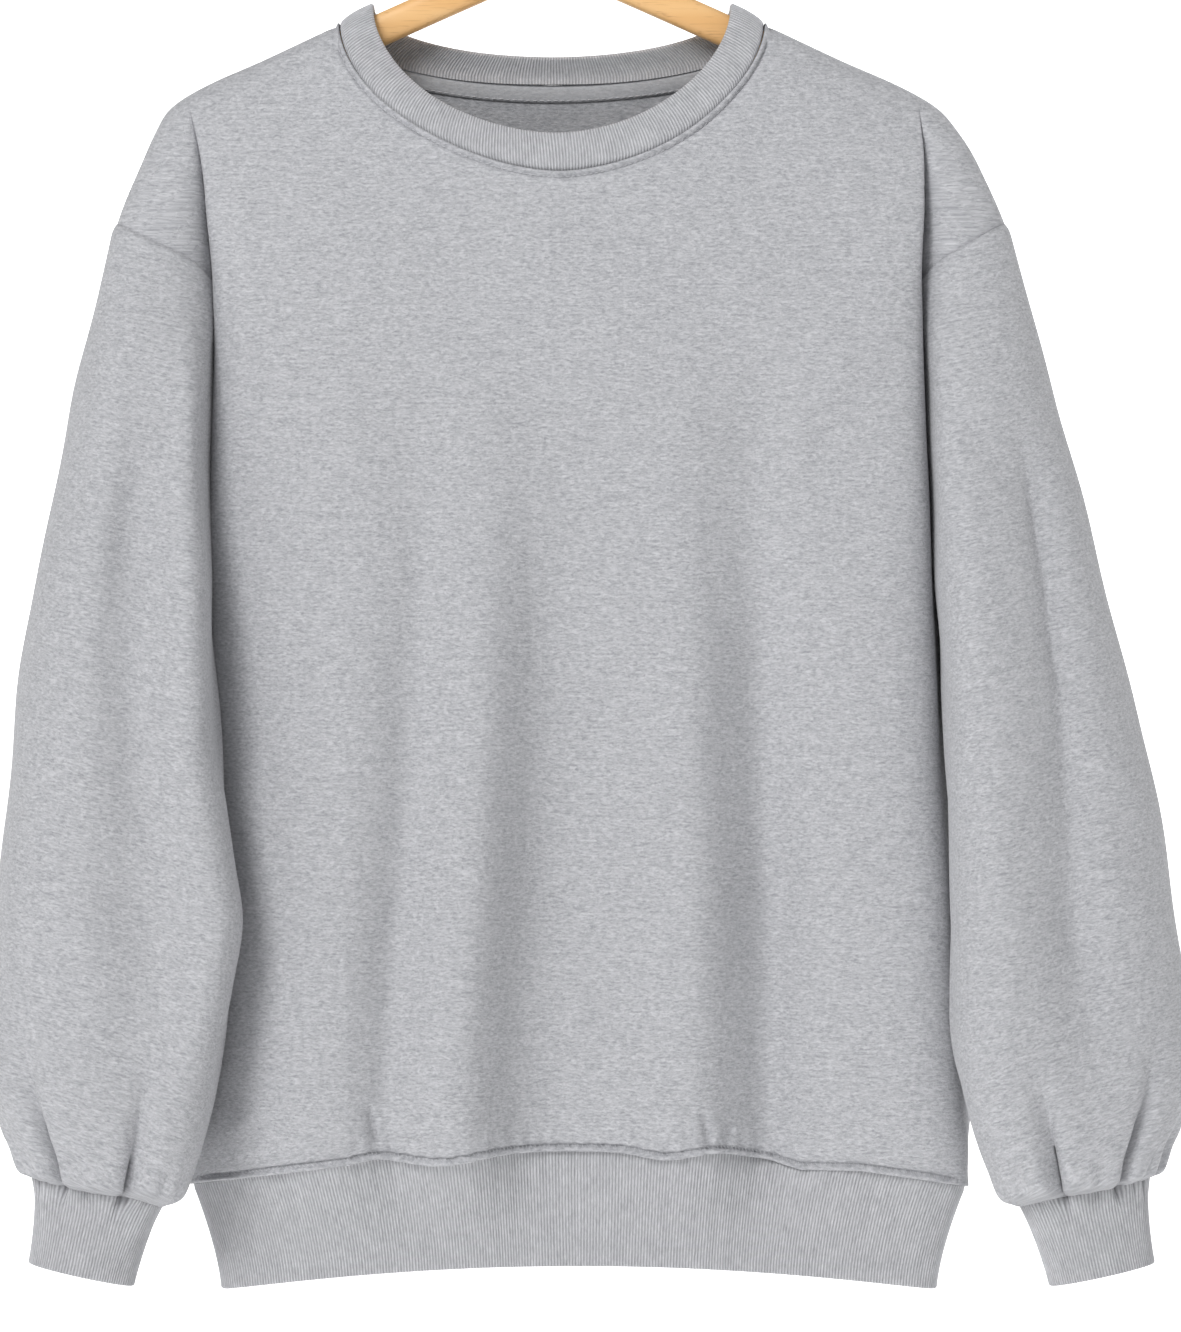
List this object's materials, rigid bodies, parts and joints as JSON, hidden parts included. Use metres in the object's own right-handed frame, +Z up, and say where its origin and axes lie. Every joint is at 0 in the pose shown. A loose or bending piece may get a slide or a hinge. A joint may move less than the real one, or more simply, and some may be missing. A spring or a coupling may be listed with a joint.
{
  "type": "crewneck sweatshirt on a hanger",
  "caption": "Crewneck sweatshirt in brushed fleece with dropped shoulders, full sleeves and ribbed neckband, cuffs and hem band, hanging open on a plain wooden hanger.",
  "frame": {"origin": "the top of the inside of the hanger's hook, where it rests on a rail", "axes": "+Z up, -Y out of the garment's front, +X towards the wearer's left sleeve"},
  "size_m": [0.6754, 0.1761, 0.8614],
  "materials": {
    "fleece": "matt heather-grey brushed fleece",
    "rib": "matt heather-grey knitted rib",
    "tape": "matt grey jersey tape",
    "wood": "clear satin lacquer",
    "steel": "polished wire"
  },
  "bodies": {
    "root": {"front": "fleece", "back": "fleece", "sleeve_right": "fleece", "sleeve_left": "fleece", "neckband": "rib", "hem_band": "rib", "cuff_right": "rib", "cuff_left": "rib", "neck_tape": "tape", "hanger_bar": "wood", "hanger_hook": "steel"}
  },
  "joints": []
}
